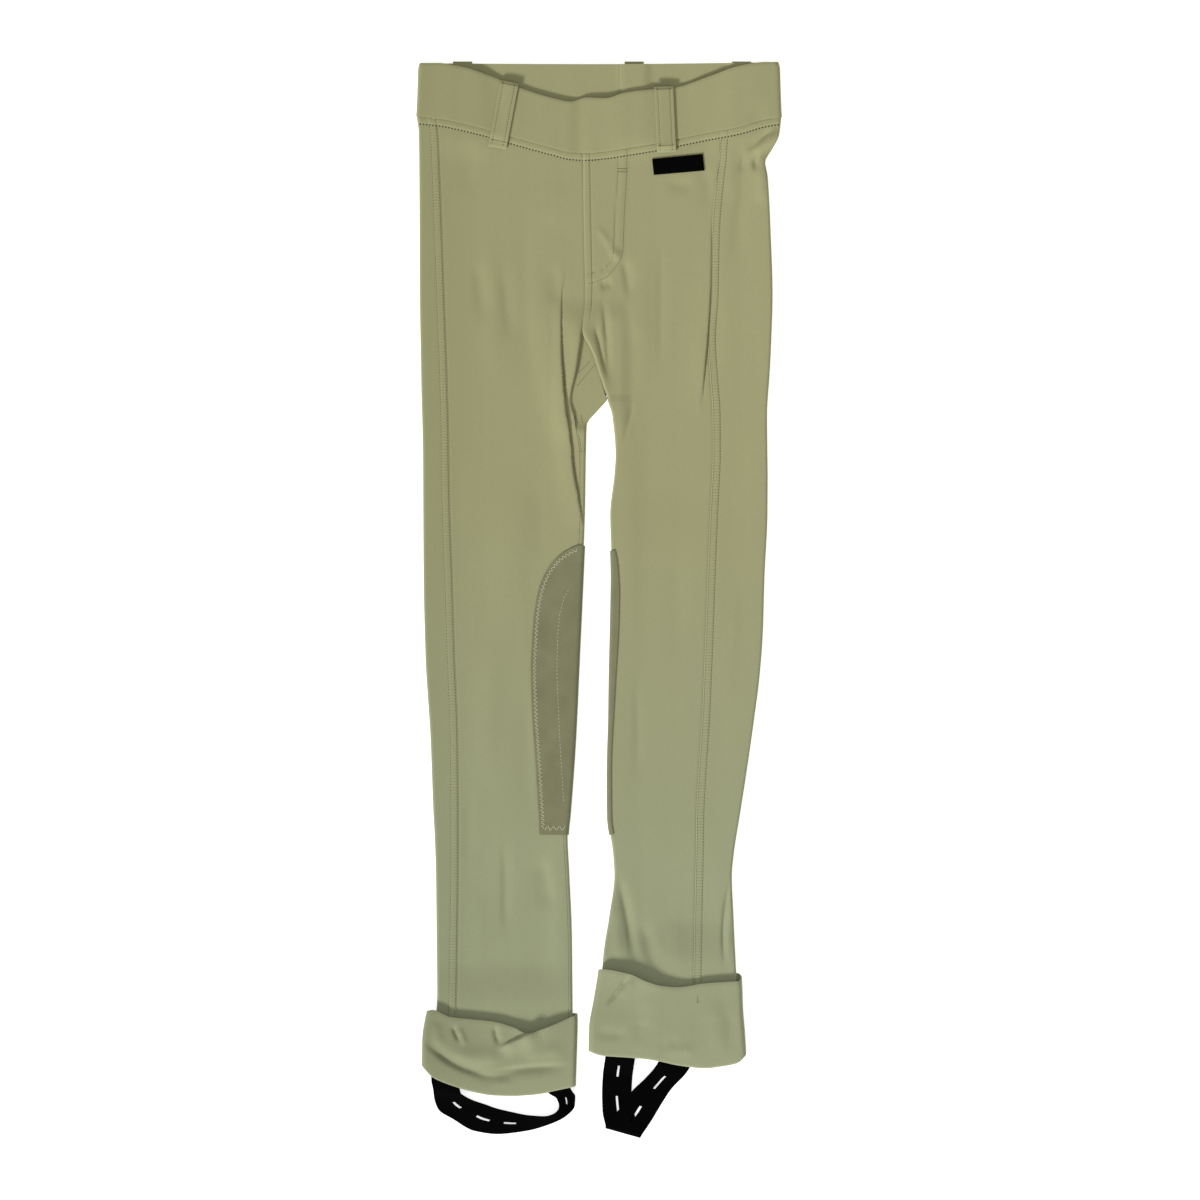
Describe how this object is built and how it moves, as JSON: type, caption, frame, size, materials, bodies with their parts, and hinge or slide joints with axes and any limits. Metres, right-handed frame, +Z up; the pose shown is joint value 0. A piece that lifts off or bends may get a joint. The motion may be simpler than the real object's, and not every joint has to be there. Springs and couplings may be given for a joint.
{
  "type": "jodhpurs",
  "caption": "Pull-on stretch riding breeches laid flat, with suede knee patches, turned-up cuffs, belt loops and elastic stirrups.",
  "frame": {"origin": "middle of the bounding box, on the surface the garment lies on", "axes": "+X to the wearer's left, +Y towards the waist, +Z up off the surface through the front of the garment"},
  "size_m": [0.2962, 0.8713, 0.0109],
  "materials": {
    "cloth": "matt olive stretch knit",
    "band": "matt olive stretch knit, doubled over elastic",
    "suede": "dull brushed microfibre suede",
    "elastic": "black ribbed elastic",
    "label": "plain black woven tape"
  },
  "bodies": {
    "root": {"front_right": "cloth", "front_left": "cloth", "back_right": "cloth", "back_left": "cloth", "waistband": "band", "cuff_right": "cloth", "cuff_left": "cloth", "knee_patch_right": "suede", "knee_patch_left": "suede", "stirrup_right": "elastic", "stirrup_left": "elastic", "belt_loop_front_right": "band", "belt_loop_front_left": "band", "belt_loop_back_right": "band", "belt_loop_back_middle": "band", "belt_loop_back_left": "band", "label": "label"}
  },
  "joints": []
}
